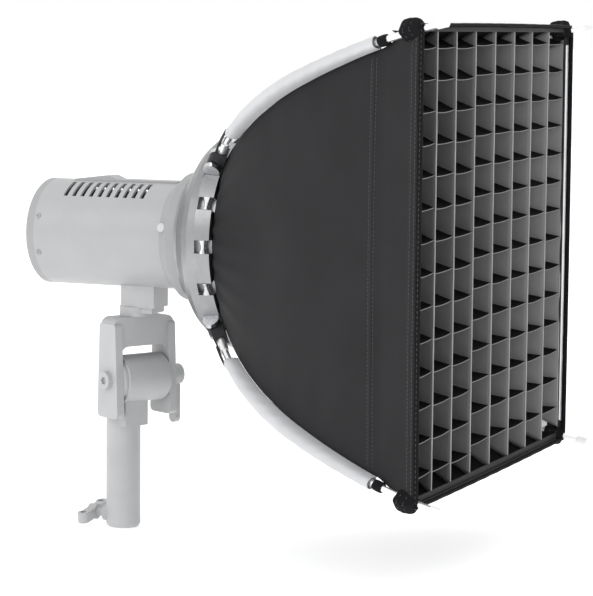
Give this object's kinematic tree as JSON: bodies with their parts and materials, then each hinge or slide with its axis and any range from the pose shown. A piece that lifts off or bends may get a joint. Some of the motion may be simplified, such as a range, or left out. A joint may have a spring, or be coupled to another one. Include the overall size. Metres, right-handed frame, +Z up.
{
  "type": "monolight strobe",
  "caption": "Cylindrical monolight strobe on a pan and tilt stand bracket, fitted with a square quick-open softbox with bowed rods, speedring and fabric grid.",
  "frame": {"origin": "centre of the mouth of the stand socket bore, on the underside of the bracket", "axes": "+X the way the light shines, +Z up out of the socket, +Y to the light's left"},
  "size_m": [0.4892, 0.4106, 0.4883],
  "materials": {
    "shell_plastic": "fine matt texture",
    "trim_plastic": "fine matt texture",
    "rail_plastic": "satin",
    "panel_plastic": "fine matt",
    "dark_plastic": "satin",
    "key_plastic": "satin",
    "red_key": "satin",
    "display_glass": "gloss",
    "pale_plastic": "satin",
    "cast_grey": "fine texture paint",
    "steel": "bright",
    "dark_steel": "black oxide",
    "brass": "plain",
    "cast_silver": "cast and clear coated",
    "reflector": "bright",
    "quartz": "clear",
    "frosted_glass": "frosted",
    "bulb_glass": "frosted",
    "ceramic": "glazed",
    "circuit_board": "lacquered",
    "capacitor_sleeve": "shrink sleeve",
    "winding": "enamelled wire",
    "rod_metal": "satin anodised",
    "tip_plastic": "satin",
    "sleeve_cloth": "satin weave",
    "black_cloth": "coated nylon weave",
    "black_webbing": "webbing",
    "diffusion_cloth": "translucent white"
  },
  "bodies": {
    "stand_socket": {"stand_socket": "cast_grey"},
    "screw_pad": {"pressure_pad": "brass"},
    "stand_screw": {"stand_screw": "cast_grey"},
    "yoke": {"yoke": "cast_grey", "tilt_bolt": "steel", "tilt_washers": "dark_plastic"},
    "tilt_lever": {"tilt_lever": "cast_grey"},
    "fan": {"fan_impeller": "key_plastic"},
    "softbox": {"ring_body": "cast_silver", "ring_spindles": "steel", "hinge_pins": "steel", "clevises": "dark_steel", "rods": "rod_metal", "rod_tips": "tip_plastic", "rod_sleeves": "sleeve_cloth", "rod_straps": "black_webbing", "corner_pockets": "black_webbing", "panel_near": "black_cloth", "panel_top": "black_cloth", "panel_far": "black_cloth", "panel_bottom": "black_cloth", "front_band": "black_webbing", "inner_diffuser": "diffusion_cloth", "front_diffuser": "diffusion_cloth"},
    "grid": {"grid": "black_cloth"},
    "dial": {"dial": "key_plastic"},
    "button_test": {"button_test": "red_key"},
    "button_menu": {"button_menu": "key_plastic"},
    "button_lamp": {"button_lamp": "key_plastic"},
    "button_slave": {"button_slave": "key_plastic"},
    "power_rocker": {"power_rocker": "dark_plastic"},
    "release_button": {"release_button": "pale_plastic"},
    "lock_pin": {"lock_pin": "steel"},
    "head": {"housing": "shell_plastic", "top_rail": "rail_plastic", "housing_screws": "dark_steel", "rear_bezel": "trim_plastic", "rear_panel": "panel_plastic", "display": "display_glass", "inlet": "dark_plastic", "sync_jack": "brass", "front_mount": "trim_plastic", "reflector_pan": "reflector", "flash_tube": "quartz", "modelling_lamp": "bulb_glass", "lamp_socket": "ceramic", "glass_dome": "frosted_glass", "main_board": "circuit_board", "capacitors": "capacitor_sleeve", "transformer": "winding", "heatsink": "cast_silver", "fan_frame": "dark_plastic", "foot": "cast_grey", "pan_bolt": "steel", "ring_insert": "cast_silver", "insert_retainer": "dark_steel"}
  },
  "joints": [
    {"name": "screw_advance", "type": "slide", "parent": "stand_socket", "child": "screw_pad", "axis": [1, 0, 0], "range_m": [-0.0035, 0]},
    {"name": "stand_screw_turn", "type": "hinge", "parent": "screw_pad", "child": "stand_screw", "pos_m": [-0.03, 0, 0.011], "axis": [1, 0, 0], "range_deg": [-900, 0]},
    {"name": "tilt", "type": "hinge", "parent": "stand_socket", "child": "yoke", "pos_m": [0.015, 0, 0.145], "axis": [0.454, 0.891, 0], "range_deg": [-50, 50]},
    {"name": "tilt_lever_turn", "type": "hinge", "parent": "yoke", "child": "tilt_lever", "pos_m": [0.015, 0, 0.145], "axis": [0.454, 0.891, 0], "range_deg": [-75, 0]},
    {"name": "pan", "type": "hinge", "parent": "yoke", "child": "head", "pos_m": [0.015, 0, 0.205], "axis": [0, 0, 1], "continuous": true},
    {"name": "ring_turn", "type": "hinge", "parent": "head", "child": "softbox", "pos_m": [0.093, 0, 0.283], "axis": [1, 0, 0], "continuous": true},
    {"name": "grid_pull", "type": "slide", "parent": "softbox", "child": "grid", "axis": [1, 0, 0], "range_m": [0, 0.06]},
    {"name": "dial_turn", "type": "hinge", "parent": "head", "child": "dial", "pos_m": [-0.08, 0.016, 0.281], "axis": [1, 0, 0], "continuous": true},
    {"name": "rocker_tip", "type": "hinge", "parent": "head", "child": "power_rocker", "pos_m": [-0.074, 0.018, 0.259], "axis": [0, 1, 0], "range_deg": [0, 10]},
    {"name": "release_press", "type": "slide", "parent": "head", "child": "release_button", "axis": [0, 0.9781, -0.2079], "range_m": [0, 0.003], "stiffness_N_per_m": 400},
    {"name": "lock_pin_slide", "type": "slide", "parent": "head", "child": "lock_pin", "axis": [-1, 0, 0], "range_m": [0, 0.0045]},
    {"name": "fan_spin", "type": "hinge", "parent": "head", "child": "fan", "pos_m": [-0.042, 0, 0.283], "axis": [1, 0, 0], "continuous": true},
    {"name": "button_test_press", "type": "slide", "parent": "head", "child": "button_test", "axis": [1, 0, 0], "range_m": [0, 0.001], "stiffness_N_per_m": 400},
    {"name": "button_menu_press", "type": "slide", "parent": "head", "child": "button_menu", "axis": [1, 0, 0], "range_m": [0, 0.001], "stiffness_N_per_m": 400},
    {"name": "button_lamp_press", "type": "slide", "parent": "head", "child": "button_lamp", "axis": [1, 0, 0], "range_m": [0, 0.001], "stiffness_N_per_m": 400},
    {"name": "button_slave_press", "type": "slide", "parent": "head", "child": "button_slave", "axis": [1, 0, 0], "range_m": [0, 0.001], "stiffness_N_per_m": 400}
  ],
  "couplings": [
    {"joint": "screw_advance", "follows": "stand_screw_turn", "m_per_rad": 0.00019894},
    {"joint": "lock_pin_slide", "follows": "release_press", "ratio": 1.5}
  ]
}
